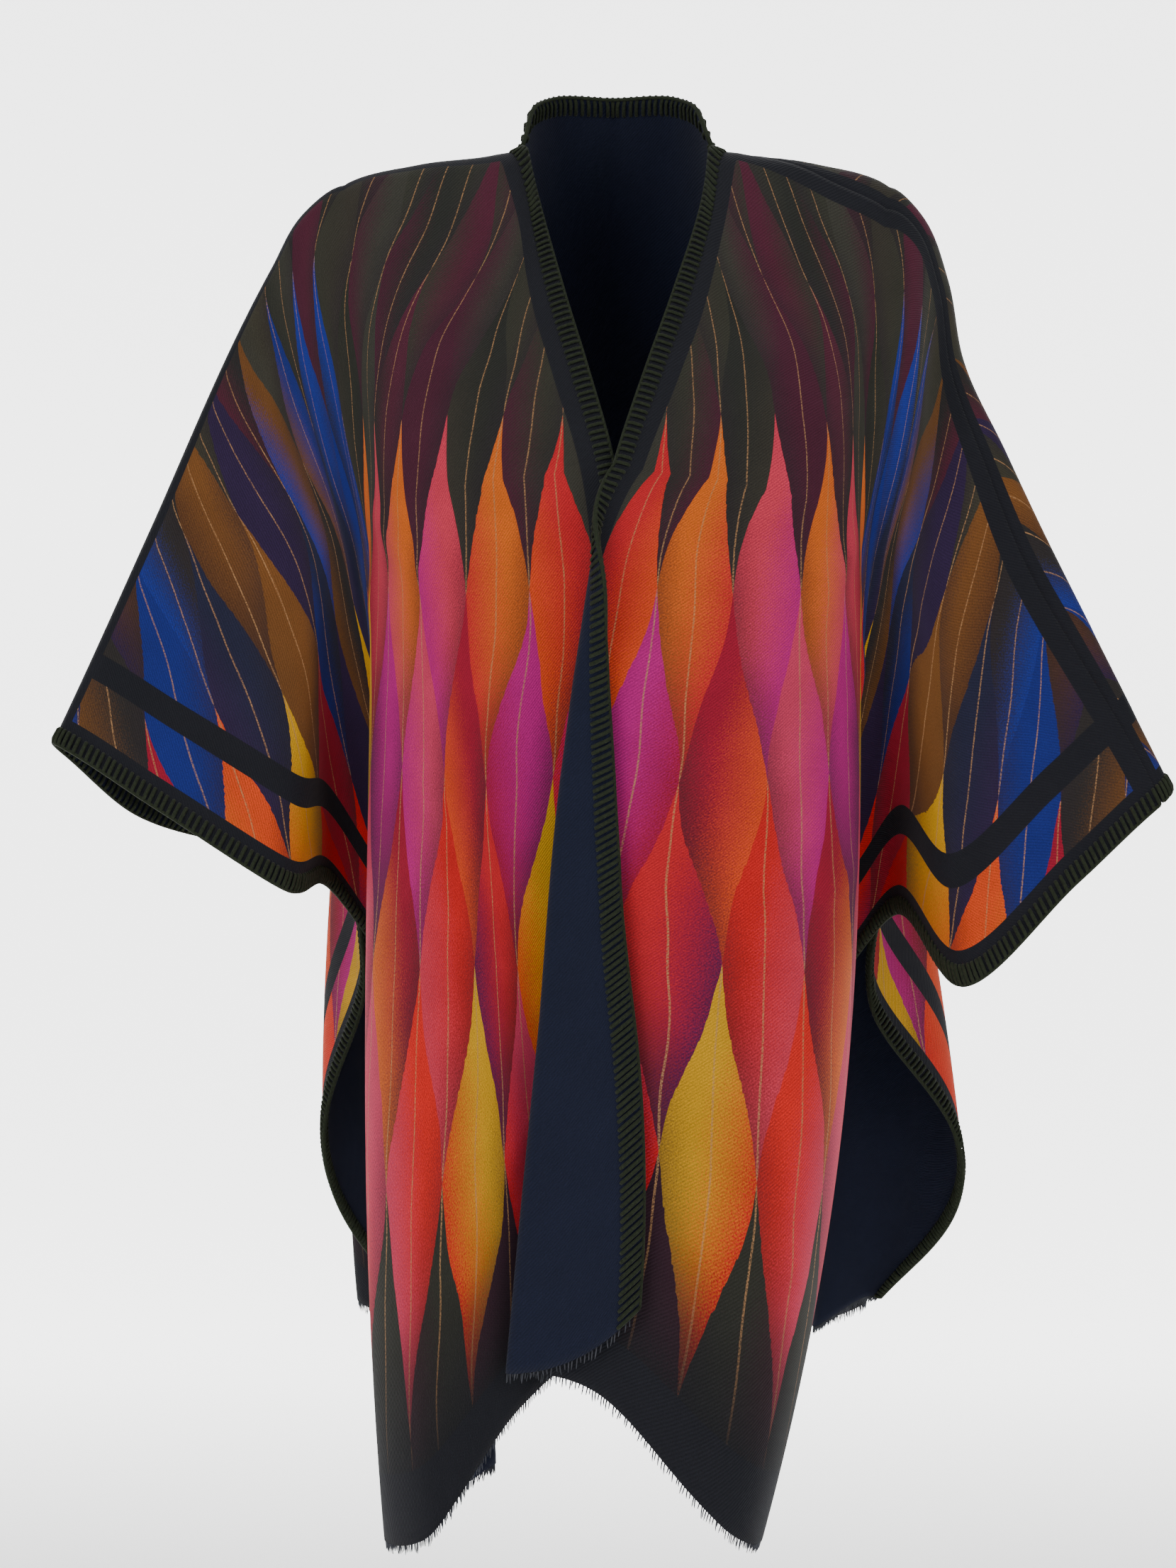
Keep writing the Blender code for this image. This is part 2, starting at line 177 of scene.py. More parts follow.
# neckline and front edge: b in the flat cut, then x outwards, y and z, in millimetres
EDGE_LEFT = (
    (0.000, 62, 2, 6),
    (0.045, 53, -20, -38),
    (0.135, 33, -74, -118),
    (0.190, 19, -106, -168),
    (0.260, 2, -143, -235),
    (0.450, -4, -158, -425),
    (0.620, -6, -150, -600),
    (0.800, -4, -118, -785),
)
EDGE_RIGHT = (
    (0.000, 66, 2, 6),
    (0.045, 61, -22, -38),
    (0.135, 38, -76, -118),
    (0.190, 21, -110, -168),
    (0.260, 0, -151, -235),
    (0.450, -29, -172, -425),
    (0.620, -44, -176, -600),
    (0.800, -62, -172, -795),
)

# folds that fan out from the shoulder point: angle in the flat cut from straight down, in degrees,
# then x outwards, y and z at the three stations, in millimetres
FRONT_FOLDS_LEFT = (
    (-90.0, -64, -10, 38, -316, -21, 111, -719, -38, 228),
    (-62.0, -27, -75, -85, -242, -150, -135, -586, -270, -215),
    (-39.0, 47, -108, -185, -93, -217, -335, -318, -391, -574),
    (-25.0, 98, -120, -215, -11, -160, -427, -186, -191, -781),
    (-14.7, 128, -116, -238, 62, -162, -478, -7, -125, -851),
    (-6.0, 145, -106, -250, 98, -163, -495, 59, -150, -928),
    (2.0, 152, -97, -257, 137, -143, -512, 101, -176, -1050),
    (9.0, 157, -89, -262, 157, -112, -520, 129, -136, -1040),
    (18.0, 160, -83, -266, 118, -92, -516, 76, -102, -930),
    (28.3, 164, -78, -269, 144, -68, -520, 136, -76, -912),
    (38.0, 171, -74, -271, 118, -46, -512, 86, -44, -898),
    (50.0, 180, -71, -272, 159, -40, -498, 148, -32, -729),
    (56.5, 188, -70, -275, 186, -56, -488, 190, -21, -792),
)
FRONT_FOLDS_RIGHT = (
    (-90.0, -62, -10, 38, -312, -21, 111, -712, -38, 228),
    (-62.0, -27, -78, -85, -242, -156, -135, -586, -281, -215),
    (-39.0, 47, -112, -185, -93, -225, -335, -318, -404, -574),
    (-25.0, 90, -126, -215, -58, -170, -427, -265, -201, -781),
    (-14.7, 124, -122, -238, 12, -172, -480, -193, -178, -868),
    (-6.0, 143, -110, -251, 84, -170, -498, -62, -182, -906),
    (2.0, 152, -99, -260, 136, -144, -512, 25, -186, -1050),
    (9.0, 157, -90, -266, 153, -104, -520, 46, -150, -1036),
    (18.0, 160, -84, -270, 116, -86, -514, 48, -104, -905),
    (28.3, 164, -79, -273, 146, -64, -520, 60, -80, -880),
    (38.0, 171, -75, -275, 118, -44, -512, 58, -47, -898),
    (50.0, 180, -71, -276, 160, -38, -504, 141, -32, -750),
    (56.5, 187, -71, -280, 185, -54, -504, 186, -21, -834),
)
BACK_FOLDS = (
    (-90.0, -64, -10, 38, -316, -21, 111, -719, -38, 228),
    (-60.0, -6, 103, -77, -200, 206, -119, -511, 371, -186),
    (-40.0, 44, 102, -165, -100, 204, -295, -331, 367, -503),
    (-25.0, 95, 112, -208, -1, 150, -403, -155, 180, -781),
    (-14.7, 126, 108, -228, 66, 150, -462, -17, 167, -819),
    (0.0, 156, 86, -258, 140, 132, -500, 108, 161, -882),
    (9.0, 172, 70, -270, 182, 108, -508, 171, 142, -887),
)
BACK_SIDE_LEFT = (
    (18.0, 174, 56, -275, 160, 80, -512, 127, 108, -866),
    (28.3, 178, 44, -276, 180, 60, -508, 142, 76, -794),
    (38.0, 180, 32, -272, 193, 40, -500, 180, 23, -834),
    (47.0, 184, 22, -268, 172, 3, -488, 148, -36, -803),
    (56.5, 190, 12, -260, 190, -11, -458, 196, -32, -792),
)
BACK_SIDE_RIGHT = (
    (18.0, 176, 56, -275, 164, 80, -512, 137, 110, -866),
    (28.3, 182, 44, -276, 202, 60, -508, 188, 84, -790),
    (38.0, 184, 32, -272, 212, 40, -504, 240, 23, -834),
    (47.0, 184, 22, -268, 176, 3, -500, 150, -36, -824),
    (56.5, 190, 12, -262, 189, -11, -486, 196, -32, -834),
)
# hanging cloth of the sleeves: direction of the cut's length from the top line, per metre of cloth
SLEEVE_FRONT_LEFT = (-0.810, -0.01, -0.510)
SLEEVE_FRONT_RIGHT = (-0.730, -0.01, -0.660)
# back of the sleeve, where it swings under the arm: angle, then a point at the middle station
SLEEVE_BACK_FOLDS = (
    (66.0, 252, -6, -500),
    (77.0, 326, -58, -510),
)
SLEEVE_ANGLES = (66.0, 78.0, 90.0)

RIDGE_ROUND = 0.020
ROUND_STEPS = (-1.0, -0.67, -0.33, 0.0, 0.33, 0.67, 1.0)
SHOULDER_SLIP = 0.030

# round the shoulder point the cloth spreads evenly: angle, then x outwards, y and z per metre
CAP_FRONT = (
    (-90.0, -1.008, -0.042, 0.292),
    (-45.0, -0.680, -0.500, -0.480),
    (-10.0, -0.260, -0.460, -0.840),
    (20.0, -0.020, -0.440, -0.900),
    (55.0, 0.170, -0.360, -0.920),
    (90.0, 0.400, -0.279, -0.867),
)
CAP_BACK = (
    (-90.0, -1.008, -0.042, 0.292),
    (-45.0, -0.660, 0.480, -0.500),
    (-10.0, -0.240, 0.450, -0.850),
    (20.0, -0.010, 0.360, -0.930),
    (55.0, 0.230, 0.100, -0.960),
    (90.0, 0.400, -0.279, -0.867),
)
CAP_INNER, CAP_OUTER = 0.05, 0.27
TOP_LINE_REACH = 0.16   # how far below the top line the cloth still follows it


def smooth_step(value, start, end):
    t = np.clip((np.asarray(value, float) - start) / (end - start), 0.0, 1.0)
    return t * t * (3.0 - 2.0 * t)


def through(knots, values, at):
    """Smooth curve through the rows of a table."""
    knots = np.asarray(knots, float)
    values = np.asarray(values, float)
    at = np.asarray(at, float)
    span = np.diff(knots)
    rise = np.diff(values, axis=0) / span.reshape((-1,) + (1,) * (values.ndim - 1))
    slope = np.empty_like(values)
    slope[0] = rise[0]
    slope[-1] = rise[-1]
    for k in range(1, len(knots) - 1):
        slope[k] = (rise[k - 1] * span[k] + rise[k] * span[k - 1]) / (span[k - 1] + span[k])
    place = np.clip(np.searchsorted(knots, at, side="right") - 1, 0, len(knots) - 2)
    extra = (1,) * (values.ndim - 1)
    width = span[place].reshape(at.shape + extra)
    t = (at - knots[place]).reshape(at.shape + extra) / width
    inside = np.clip(t, 0.0, 1.0)
    low, high = values[place], values[place + 1]
    slope_low, slope_high = slope[place] * width, slope[place + 1] * width
    curve = (low * (2 * inside ** 3 - 3 * inside ** 2 + 1)
             + slope_low * (inside ** 3 - 2 * inside ** 2 + inside)
             + high * (3 * inside ** 2 - 2 * inside ** 3)
             + slope_high * (inside ** 3 - inside ** 2))
    past_end = np.where(t > 1.0, (t - 1.0) * slope_high, 0.0)
    return curve + past_end + np.where(t < 0.0, t * slope_low, 0.0)


def curve_of(table, at):
    rows = np.array(table, float)
    return through(rows[:, 0], rows[:, 1:] / 1000.0, at)


def sleeve_row(ridge, fall, angle):
    """Row of the fold table where the cloth hangs flat from the arm line."""
    start = np.array(SHOULDER_POINT)
    arm = (curve_of(ridge, HALF_WIDTH) - start) / (HALF_WIDTH - SHOULDER_WIDTH)
    a = math.radians(angle)
    ray = math.sin(a) * arm + math.cos(a) * np.array(fall)
    stations = [start + ray * reach for reach in (NEAR, MIDDLE, FAR)]
    return [angle] + [value for place in stations for value in place * 1000.0]


def fold_table(folds, ridge, fall):
    rows = [list(row) for row in folds]
    if fall is None:
        start = np.array(SHOULDER_POINT) * 1000.0
        for angle, x, y, z in SLEEVE_BACK_FOLDS:
            ray = (np.array((x, y, z)) - start) / MIDDLE
            rows.append([angle] + [v for reach in (NEAR, MIDDLE, FAR) for v in start + ray * reach])
        rows.append(sleeve_row(ridge, (0.0, 0.0, 0.0), 90.0))
    else:
        rows += [sleeve_row(ridge, fall, angle) for angle in SLEEVE_ANGLES]
    return np.array(rows)


def fan(table, cap, u, b):
    """Cloth that fans out from the shoulder point, without the shape of the top line and front edge."""
    sideways = u - SHOULDER_WIDTH
    angle = np.degrees(np.arctan2(sideways, b))
    reach = np.hypot(sideways, b)
    at_angle = through(table[:, 0], table[:, 1:] / 1000.0, angle)
    start = np.array(SHOULDER_POINT)
    near, middle, far = (at_angle[..., k:k + 3] - start for k in (0, 3, 6))
    r = reach[..., None]
    n, m, f = NEAR, MIDDLE, FAR
    # cubic along the ray that starts at the shoulder point
    along = (near * r * (r - m) * (r - f) / (n * (n - m) * (n - f))
             + middle * r * (r - n) * (r - f) / (m * (m - n) * (m - f))
             + far * r * (r - n) * (r - m) / (f * (f - n) * (f - m)))
    rows = np.array(cap)
    even = through(rows[:, 0], rows[:, 1:], angle) * r
    share = smooth_step(reach, CAP_INNER, CAP_OUTER)[..., None]
    return start + even * (1.0 - share) + along * share


def hang(table, cap, ridge, u, b):
    """The fan with its top line laid on the shoulder and arm."""
    zero = np.zeros_like(b)
    off = curve_of(ridge, u) - fan(table, cap, u, zero)
    return fan(table, cap, u, b) + off * (1.0 - smooth_step(b, 0.0, TOP_LINE_REACH))[..., None]


def neckline(b):
    return NECK_HALF_WIDTH * np.clip(1.0 - b / NECK_DEPTH, 0.0, 1.0)


def flap_width(b):
    drop = np.clip((b - FLAP_TOP) / (LENGTH - FLAP_TOP), 0.0, 1.2)
    return FLAP_WIDTH * drop ** 0.72


def cloth_columns(side):
    """Ridge, edge, front folds, back folds and sleeve fall of one side."""
    if side == "left":
        return (RIDGE_LEFT, EDGE_LEFT, FRONT_FOLDS_LEFT, BACK_FOLDS + BACK_SIDE_LEFT,
                SLEEVE_FRONT_LEFT)
    return (RIDGE_RIGHT, EDGE_RIGHT, FRONT_FOLDS_RIGHT, BACK_FOLDS + BACK_SIDE_RIGHT,
            SLEEVE_FRONT_RIGHT)


def front_side(side, u, b):
    ridge, edge, folds, back_folds, fall = cloth_columns(side)
    start = neckline(b) + (flap_width(b) if side == "right" else 0.0)
    table = fold_table(folds, ridge, fall)
    share = 1.0 - smooth_step((u - start) / (SHOULDER_WIDTH - 0.01 - start), 0.0, 1.0)
    off = curve_of(edge, b) - hang(table, CAP_FRONT, ridge, start, b)
    return hang(table, CAP_FRONT, ridge, u, b) + off * share[..., None]


def back_side(side, u, b):
    ridge, edge, folds, back_folds, fall = cloth_columns(side)
    table = fold_table(back_folds, ridge, None)
    points = hang(table, CAP_BACK, ridge, u, b)
    centre = hang(table, CAP_BACK, ridge, np.zeros_like(b), b)
    share = 1.0 - smooth_step(u, 0.0, SHOULDER_WIDTH)
    points[..., 0] -= centre[..., 0] * share
    return points


def over_ridge(side, u, c):
    """Cloth of one side: c is the distance past its top line, positive on the front."""
    front = front_side(side, u, np.maximum(c, 0.0))
    back = back_side(side, u, np.maximum(-c, 0.0))
    return np.where((c > 0.0)[..., None], front, back)


def one_side(side, u, c):
    """The same cloth with its top line rounded over shoulder and arm."""
    spread = RIDGE_ROUND * (1.0 - smooth_step(np.abs(c), 0.01, 0.09)) * smooth_step(u, 0.070, 0.090)
    total = 0.0
    for part in ROUND_STEPS:
        total = total + over_ridge(side, u, c + spread * part)
    rounded = total / len(ROUND_STEPS)
    return np.where((spread > 0.0)[..., None], rounded, over_ridge(side, u, c))


def slip(side, u, b):
    """How far the shoulder line has slipped to the front."""
    if side == "left":
        return np.zeros_like(u)
    rise = smooth_step(u, 0.10, 0.20) * (1.0 - 0.4 * smooth_step(u, 0.45, 0.64))
    return SHOULDER_SLIP * rise * (1.0 - smooth_step(b, 0.02, 0.30))


def turned_flap(u, b):
    """Where a point of the right front lies once its edge strip is turned outwards: u and b on
    the panel, and height above it."""
    width = flap_width(b)
    turn = math.pi * smooth_step(b, FLAP_TOP, FLAP_TURNED)
    past = np.clip(width - u, 0.0, None)
    bend = np.minimum(past, turn * FLAP_BEND)
    angle = bend / FLAP_BEND
    straight = past - bend
    place = np.where(past > 0.0, width - FLAP_BEND * np.sin(angle) - straight * np.cos(turn), u)
    height = np.where(past > 0.0, FLAP_BEND * (1.0 - np.cos(angle)) + straight * np.sin(turn), 0.0)
    drop = np.clip((b - FLAP_TOP) / (LENGTH - FLAP_TOP), 0.0, 1.2)
    lift = FLAP_LIFT * drop ** 1.2 * np.clip(past / np.maximum(width, 0.001), 0.0, 1.0) ** 2.6
    return place, b - lift, height


def front_points(side, u, b):
    """Middle of the cloth wall; x still measured outwards from the centre."""
    if side == "left":
        return one_side(side, u, b)
    place, b, height = turned_flap(u, b)
    step = 0.004
    base = one_side(side, place, b + slip(side, place, b))
    ahead = one_side(side, place + step, b + slip(side, place + step, b))
    below = one_side(side, place, b + step + slip(side, place, b + step))
    normal = unit(np.cross(below - base, ahead - base))
    return base + normal * height[..., None]


def back_points(side, u, b):
    return one_side(side, u, slip(side, u, b) - b)


def unit(vector):
    return vector / np.maximum(np.linalg.norm(vector, axis=-1, keepdims=True), 1e-9)


def facing(surface, side, u, b):
    """Outward normal of a surface function."""
    step = 0.0015
    across = surface(side, u + step, b) - surface(side, u - step, b)
    down = surface(side, u, b + step) - surface(side, u, b - step)
    normal = unit(np.cross(down, across))
    return normal if surface is front_points else -normal


# soft creases that arms and packing leave: u and b of both ends in the flat cut, width and height,
# in millimetres
CREASES_LEFT = (
    (60, 500, 190, 430, 9, 2.2),
    (40, 560, 120, 548, 7, 1.6),
    (120, 330, 230, 250, 12, 2.5),
    (250, 300, 420, 330, 14, 2.5),
    (300, 120, 420, 230, 16, 2.0),
    (60, 640, 200, 690, 14, 2.0),
)


def creased(points, normal, creases, u, b):
    """The cloth lifted along each crease, along its normal."""
    lift = np.zeros_like(u)
    for row in creases:
        u0, b0, u1, b1, width, height = np.array(row) / 1000.0
        length = math.hypot(u1 - u0, b1 - b0)
        along = ((u - u0) * (u1 - u0) + (b - b0) * (b1 - b0)) / length ** 2
        off = ((u - u0) * (b1 - b0) - (b - b0) * (u1 - u0)) / length
        ends = smooth_step(along, -0.15, 0.25) * (1.0 - smooth_step(along, 0.75, 1.15))
        lift = lift + height * ends * np.exp(-(off / width) ** 2)
    return points + normal * lift[..., None]


def cloth_shell(name, points, normal, u, b):
    """Closed cloth wall on a grid of its middle, face outwards; its UV is the flat cut."""
    rows, columns = points.shape[:2]
    count = rows * columns
    k = np.arange(count).reshape(rows, columns)
    a, c, d, e = (s.ravel() for s in (k[:-1, :-1], k[:-1, 1:], k[1:, 1:], k[1:, :-1]))
    face = np.stack((a, e, d, c), axis=1)
    reverse = np.stack((a, c, d, e), axis=1) + count
    ring = np.concatenate((k[0, :], k[1:, -1], k[-1, -2::-1], k[-2:0:-1, 0]))
    ahead = np.roll(ring, -1)
    rim = np.stack((ring, ahead, ahead + count, ring + count), axis=1)
    faces = np.vstack((face, reverse, rim))
    mesh = bpy.data.meshes.new(name)
    middle = points.reshape(-1, 3)
    out = normal.reshape(-1, 3) * WALL / 2.0
    mesh.from_pydata(np.vstack((middle + out, middle - out)), [], faces.tolist())
    printed = np.repeat((0, 1, 1), (len(face), len(reverse), len(rim)))
    mesh.polygons.foreach_set("material_index", printed)
    mesh.polygons.foreach_set("use_smooth", np.ones(len(faces), bool))
    cut = np.tile(np.stack((u.ravel(), b.ravel()), axis=1), (2, 1))
    layer = mesh.uv_layers.new(name="cut")
    layer.uv.foreach_set("vector", cut[faces.ravel()].ravel().astype(np.float32))
    mesh.materials.append(printed_wool)
    mesh.materials.append(plain_wool)
    mesh.update()
    piece = bpy.data.objects.new(name, mesh)
    bpy.context.scene.collection.objects.link(piece)
    return piece


# Printed wool twill: dyed in the piece with a dark ground, then screen printed, so the colours lie
# on a matt, slightly hairy face and every edge is broken by the twill's ribs. The design is a plain
# half-drop trellis of long ogees; framing bands of the dark ground are left round each panel.
OGEE_WIDTH = 0.045
OGEE_LENGTH = 0.225
FAN_ABOVE = 0.45    # the fan's point, above the shoulder line
FAN_SPREAD = 0.75   # distance from that point at which the ogees have their stated width
TWILL_RIB = 0.0016   # the real ribs are 0.7 mm apart; drawn coarser so that they show

printed_wool = bpy.data.materials.new("printed_wool_twill")
printed_wool.use_nodes = True
wool = printed_wool.node_tree.nodes["Principled BSDF"]
wool.inputs["Roughness"].default_value = 0.88
wool.inputs["Specular IOR Level"].default_value = 0.25
wool.inputs["Sheen Weight"].default_value = 0.05
wool.inputs["Sheen Roughness"].default_value = 0.5
m = printed_wool
cut_place = add_node(m, "ShaderNodeUVMap", uv_map="cut").outputs["UV"]
split = add_node(m, "ShaderNodeSeparateXYZ", (cut_place,))
across = add_node(m, "ShaderNodeMath", (split.outputs["X"],), operation="ABSOLUTE")
along = add_node(m, "ShaderNodeMath", (split.outputs["Y"],), operation="ABSOLUTE")
# the trellis fans out from a point above the neck: length round the fan, and distance down it
above = add_node(m, "ShaderNodeMath", (along, FAN_ABOVE), operation="ADD")
fan_round = add_node(m, "ShaderNodeMath", (across, above), operation="ARCTAN2")
fan_round = add_node(m, "ShaderNodeMath", (fan_round, FAN_SPREAD), operation="MULTIPLY")
fan_down = add_node(m, "ShaderNodeCombineXYZ", (across, above, 0.0))
fan_down = add_node(m, "ShaderNodeVectorMath", (fan_down,), operation="LENGTH").outputs["Value"]
fan_down = add_node(m, "ShaderNodeMath", (fan_down, FAN_ABOVE), operation="SUBTRACT")
# the drawn line wavers a few millimetres, and the dye runs a little along the warp
waver = add_node(m, "ShaderNodeTexNoise", {"Vector": cut_place, "Scale": 11.0, "Detail": 1.0})
stretch = add_node(m, "ShaderNodeMapping", {"Vector": cut_place, "Scale": (520.0, 22.0, 1.0)})
run = add_node(m, "ShaderNodeTexNoise", {"Vector": stretch, "Scale": 1.0, "Detail": 1.0})
grain = add_node(m, "ShaderNodeTexNoise", {"Vector": cut_place, "Scale": 900.0, "Detail": 1.0})
drawn_across = add_node(m, "ShaderNodeMath", (waver, 0.010, fan_round), operation="MULTIPLY_ADD")
drawn_along = add_node(m, "ShaderNodeMath", (run, 0.008, fan_down), operation="MULTIPLY_ADD")
# ogees: a trellis of lozenges whose sides are bent by a sine
turn = add_node(m, "ShaderNodeMath", (drawn_along, 1.0 / OGEE_LENGTH), operation="MULTIPLY")
wave = add_node(m, "ShaderNodeMath", (turn, 4.0 * math.pi), operation="MULTIPLY")
wave = add_node(m, "ShaderNodeMath", (wave,), operation="SINE")
turn = add_node(m, "ShaderNodeMath", (wave, -0.034, turn), operation="MULTIPLY_ADD")
one = add_node(m, "ShaderNodeMath", (drawn_across, 1.0 / OGEE_WIDTH, turn), operation="MULTIPLY_ADD")
other = add_node(m, "ShaderNodeMath", (turn, -1.0), operation="MULTIPLY")
other = add_node(m, "ShaderNodeMath", (drawn_across, 1.0 / OGEE_WIDTH, other),
                 operation="MULTIPLY_ADD")
one_cell = add_node(m, "ShaderNodeMath", (one,), operation="FLOOR")
other_cell = add_node(m, "ShaderNodeMath", (other,), operation="FLOOR")
one_part = add_node(m, "ShaderNodeMath", (one,), operation="FRACT")
other_part = add_node(m, "ShaderNodeMath", (other,), operation="FRACT")
cell = add_node(m, "ShaderNodeCombineXYZ", (one_cell, other_cell, 0.0))
chance = add_node(m, "ShaderNodeTexWhiteNoise", {"Vector": cell}, noise_dimensions="2D")
chances = add_node(m, "ShaderNodeSeparateColor", (chance.outputs["Color"],))
# middle of the ogee in the cut, which settles the ogee's group of colours
middle_across = add_node(m, "ShaderNodeMath", (one_cell, other_cell), operation="ADD")
middle_across = add_node(m, "ShaderNodeMath", (middle_across, OGEE_WIDTH / 2.0, OGEE_WIDTH / 2.0),
                         operation="MULTIPLY_ADD")
middle_along = add_node(m, "ShaderNodeMath", (one_cell, other_cell), operation="SUBTRACT")
middle_along = add_node(m, "ShaderNodeMath", (middle_along, OGEE_LENGTH / 2.0), operation="MULTIPLY")
scatter = add_node(m, "ShaderNodeMath", (chances.outputs["Blue"], 0.05, middle_along),
                   operation="MULTIPLY_ADD")


def dyes(value, colours):
    """Colours of one group, each taken by an equal share of the ogees."""
    ramp = add_node(m, "ShaderNodeValToRGB", (value,))
    ramp.color_ramp.interpolation = "CONSTANT"
    for k, code in enumerate(colours):
        stops = ramp.color_ramp.elements
        stop = stops.new(k / len(colours)) if k > 1 else stops[k]
        stop.position = k / len(colours)
        stop.color = linear(code)
    return ramp


YOKE = ("#34342a", "#2b2c25", "#3d392c", "#4a1a2e", "#36322a", "#282924", "#521c30", "#393830")
BODY = ("#c4161c", "#dc4a1c", "#b8167a", "#cc3c5c", "#dc241c", "#cf9a12", "#9c1430", "#d8661a",
        "#5a1444", "#d03a50", "#cc1c1c", "#c8222a")
SLEEVE = ("#1c2f8c", "#6c4420", "#2e2a28", "#1a2878", "#54341e", "#2e1e40", "#7a4c22", "#22243c")
HEM = ("#2e2e26", "#42182a", "#6c4420", "#24251f", "#321826", "#2a2b24")
# where the groups change, in metres of the cut: down from the shoulder line, or out from the middle
BODY_FROM, HEM_FROM = 0.300, 0.715
SLEEVE_OUT, SLEEVE_FROM, SLEEVE_TO = 0.300, 0.165, 0.46
SINK_FROM, SINK_TO = 0.725, 0.800
groups = []
for value in (chances.outputs["Red"], chances.outputs["Green"]):
    yoke_dye, body_dye, sleeve_dye, hem_dye = (dyes(value, c) for c in (YOKE, BODY, SLEEVE, HEM))
    in_body = add_node(m, "ShaderNodeMath", (scatter, BODY_FROM), operation="GREATER_THAN")
    group = add_node(m, "ShaderNodeMix", {0: in_body, 6: yoke_dye, 7: body_dye}, data_type="RGBA")
    on_arm = add_node(m, "ShaderNodeMath", (middle_across, SLEEVE_OUT), operation="GREATER_THAN")
    short = add_node(m, "ShaderNodeMath", (scatter, SLEEVE_TO), operation="LESS_THAN")
    on_arm = add_node(m, "ShaderNodeMath", (on_arm, short), operation="MULTIPLY")
    past_shoulder = add_node(m, "ShaderNodeMath", (scatter, SLEEVE_FROM), operation="GREATER_THAN")
    on_arm = add_node(m, "ShaderNodeMath", (on_arm, past_shoulder), operation="MULTIPLY")
    group = add_node(m, "ShaderNodeMix", {0: on_arm, 6: group.outputs[2], 7: sleeve_dye},
                     data_type="RGBA")
    at_hem = add_node(m, "ShaderNodeMath", (scatter, HEM_FROM), operation="GREATER_THAN")
    group = add_node(m, "ShaderNodeMix", {0: at_hem, 6: group.outputs[2], 7: hem_dye}, data_type="RGBA")
    groups.append(group.outputs[2])
# each ogee is sprayed with a second dye from one side, in grains, and darkens towards its other side
spray = add_node(m, "ShaderNodeMath", (grain, 0.9, one_part), operation="MULTIPLY_ADD")
spray = add_node(m, "ShaderNodeMapRange", (spray, 0.75, 1.5, 0.0, 1.0))
print_colour = add_node(m, "ShaderNodeMix", {0: spray, 6: groups[0], 7: groups[1]}, data_type="RGBA")
shade = add_node(m, "ShaderNodeMath", (grain, 0.7, other_part), operation="MULTIPLY_ADD")
shade = add_node(m, "ShaderNodeMapRange", (shade, 0.30, 0.75, 0.62, 0.0))
print_colour = add_node(m, "ShaderNodeMix",
                        {0: shade, 6: print_colour.outputs[2], 7: linear("#2b2328")},
                        data_type="RGBA")
# a thin line down the middle of two ogees in three
off_middle = add_node(m, "ShaderNodeMath", (one_part, other_part), operation="ADD")
off_middle = add_node(m, "ShaderNodeMath", (off_middle, 1.0, 0.022), operation="COMPARE")
lined = add_node(m, "ShaderNodeMath", (chances.outputs["Blue"], 0.33), operation="GREATER_THAN")
line = add_node(m, "ShaderNodeMath", (off_middle, lined), operation="MULTIPLY")
broken = add_node(m, "ShaderNodeMapRange", (grain, 0.40, 0.55, 0.15, 0.75))
line = add_node(m, "ShaderNodeMath", (line, broken), operation="MULTIPLY")
print_colour = add_node(m, "ShaderNodeMix", {0: line, 6: print_colour.outputs[2], 7: linear("#b98a5c")},
                        data_type="RGBA")
# towards the hem the print sinks into the ground
sink = add_node(m, "ShaderNodeMath", (grain, 0.05, along), operation="MULTIPLY_ADD")
sink = add_node(m, "ShaderNodeMapRange", (sink, SINK_FROM, SINK_TO, 0.0, 1.0))
print_colour = add_node(m, "ShaderNodeMix", {0: sink, 6: print_colour.outputs[2], 7: linear("#191a1e")},
                        data_type="RGBA")
# framing bands of the ground: beside the neck and front edge, over the shoulder line, round the
# sleeve, along the side edge and the hem; each of the last four has its middle and its half width
EDGE_BAND = 0.021
neck = add_node(m, "ShaderNodeMapRange", (split.outputs["Y"], 0.0, NECK_DEPTH, NECK_HALF_WIDTH, 0.0))
from_edge = add_node(m, "ShaderNodeMath", (across, neck), operation="SUBTRACT")
bands = add_node(m, "ShaderNodeMath", (from_edge, EDGE_BAND), operation="LESS_THAN")
on_front = add_node(m, "ShaderNodeMath", (split.outputs["Y"], -0.001), operation="GREATER_THAN")
bands = add_node(m, "ShaderNodeMath", (bands, on_front), operation="MULTIPLY")
for centre, half, value in ((0.0025, 0.0115, split.outputs["Y"]), (0.582, 0.009, across),
                            (0.640, 0.017, across), (0.800, 0.030, along)):
    band = add_node(m, "ShaderNodeMath", (value, centre, half), operation="COMPARE")
    bands = add_node(m, "ShaderNodeMath", (bands, band), operation="MAXIMUM")
face_colour = add_node(m, "ShaderNodeMix", {0: bands, 6: print_colour.outputs[2], 7: linear("#1a1b22")},
                       data_type="RGBA")


